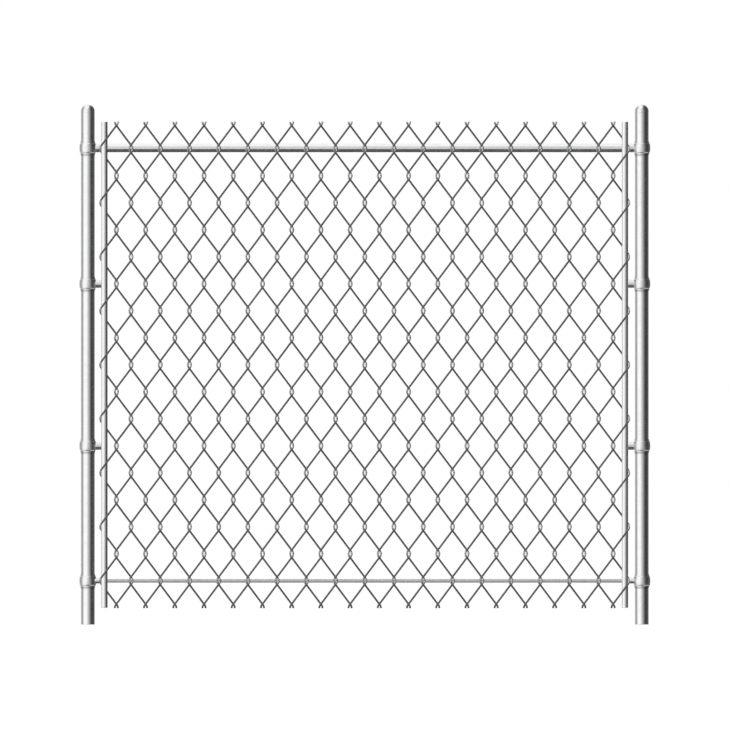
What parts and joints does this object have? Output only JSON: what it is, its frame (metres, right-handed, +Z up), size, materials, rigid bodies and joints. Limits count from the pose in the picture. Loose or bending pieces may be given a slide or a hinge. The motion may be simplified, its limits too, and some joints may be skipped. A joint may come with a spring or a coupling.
{
  "type": "chain link fence panel",
  "caption": "Chain link fence panel: woven diamond wire fabric laced on tension bars between two capped round steel posts with collar bands, a top rail and a bottom rod.",
  "frame": {"origin": "centre of the left post's foot, on the ground", "axes": "+X along the panel to the right post, +Y to the back, +Z up; the fabric faces -Y"},
  "size_m": [1.4326, 0.0668, 1.3042],
  "materials": {
    "galvanized_tube": "bright galvanized tube, smooth, low sheen",
    "band_steel": "galvanized pressed and cast fittings, slightly rough",
    "fabric_wire": "drawn galvanized wire, dark grey sheen",
    "bar_steel": "galvanized bar and rod"
  },
  "bodies": {
    "root": {"top_rail": "galvanized_tube", "bottom_rod": "bar_steel", "chain_link_fabric": "fabric_wire", "left_post": "galvanized_tube", "left_post_cap": "band_steel", "left_top_rail_band": "band_steel", "left_upper_tension_band": "band_steel", "left_lower_tension_band": "band_steel", "left_bottom_rod_band": "band_steel", "left_tension_bar": "bar_steel", "right_post": "galvanized_tube", "right_post_cap": "band_steel", "right_top_rail_band": "band_steel", "right_upper_tension_band": "band_steel", "right_lower_tension_band": "band_steel", "right_bottom_rod_band": "band_steel", "right_tension_bar": "bar_steel"}
  },
  "joints": []
}
